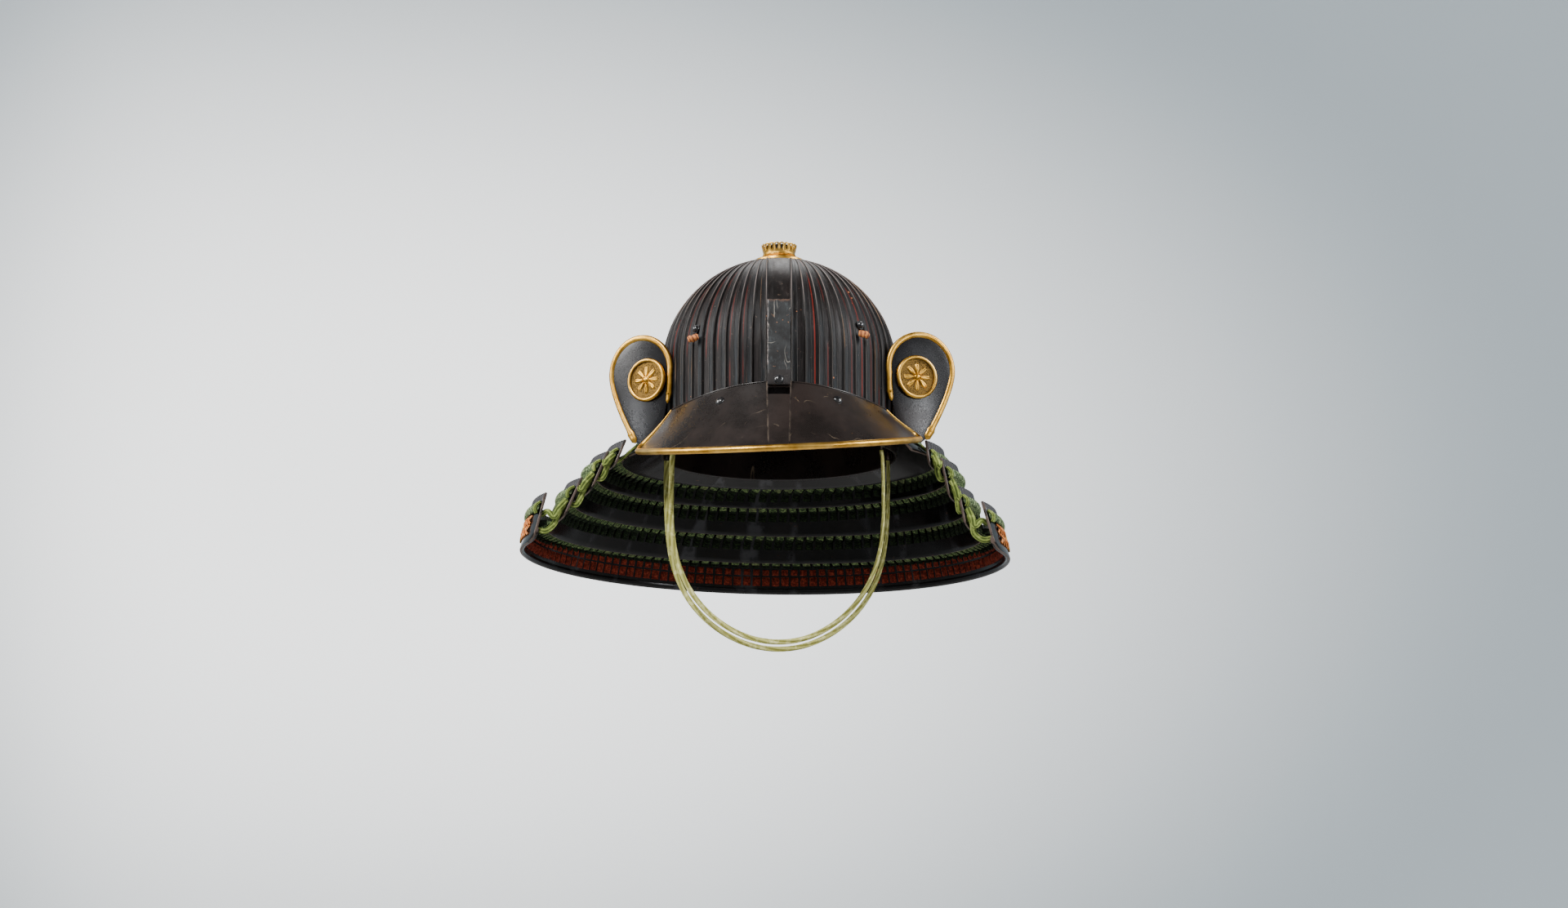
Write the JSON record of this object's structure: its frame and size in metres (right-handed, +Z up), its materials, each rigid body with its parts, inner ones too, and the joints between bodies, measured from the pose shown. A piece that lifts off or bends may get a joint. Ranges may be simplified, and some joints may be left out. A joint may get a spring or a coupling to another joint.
{
  "type": "samurai helmet",
  "caption": "Ridged iron kabuto helmet with gilt crown, riveted peak with crest post, turned-back ears with gilt discs, laced flaring neck guard and hanging chin cords.",
  "frame": {"origin": "centre of the head opening, in the plane of the bowl band's lower edge", "axes": "+Z up through the crown, -Y the way the wearer faces, +X to the wearer's left"},
  "size_m": [0.45, 0.3885, 0.3831],
  "materials": {
    "bowl_lacquer": "worn brown-black lacquer on iron, semi-gloss",
    "ear_lacquer": "smooth blue-black lacquer, gloss",
    "lame_lacquer": "black lacquer, gloss",
    "gilt": "worn gilding, satin",
    "iron": "dark blue-grey iron, scratched",
    "lacing": "flat braided silk, grey-green",
    "leather": "orange-brown rolled leather",
    "cord": "flat braided silk, yellow-green"
  },
  "bodies": {
    "root": {"bowl": "bowl_lacquer", "bowl_band": "bowl_lacquer", "peak": "bowl_lacquer", "crown_plate": "gilt", "crown_ring": "gilt", "peak_rim": "gilt", "ear_rim_left": "gilt", "ear_rim_right": "gilt", "ear_disc_left": "gilt", "ear_disc_right": "gilt", "tail_disc_left": "gilt", "tail_disc_right": "gilt", "crest_post": "iron", "post_rivet": "iron", "peak_rivet_left": "iron", "peak_rivet_right": "iron", "stud_front_left": "iron", "stud_front_right": "iron", "stud_rear_left": "iron", "stud_rear_right": "iron", "ring_chin_cord_front_left": "iron", "ring_chin_cord_front_right": "iron", "ring_chin_cord_rear_left": "iron", "ring_chin_cord_rear_right": "iron", "cord_stub_front_left": "leather", "cord_stub_front_right": "leather", "cord_stub_rear_left": "leather", "cord_stub_rear_right": "leather", "ear_left": "ear_lacquer", "ear_right": "ear_lacquer", "neck_lame_1": "lame_lacquer", "neck_lame_2": "lame_lacquer", "neck_lame_3": "lame_lacquer", "neck_lame_4": "lame_lacquer", "neck_lame_5": "lame_lacquer", "lacing_1": "lacing", "lacing_2": "lacing", "lacing_3": "lacing", "lacing_4": "lacing", "edge_lace_left_1": "cord", "edge_lace_left_2": "cord", "edge_lace_left_3": "cord", "edge_lace_left_4": "cord", "edge_lace_right_1": "cord", "edge_lace_right_2": "cord", "edge_lace_right_3": "cord", "edge_lace_right_4": "cord", "chin_cord_front": "cord", "chin_cord_rear": "cord"}
  },
  "joints": []
}
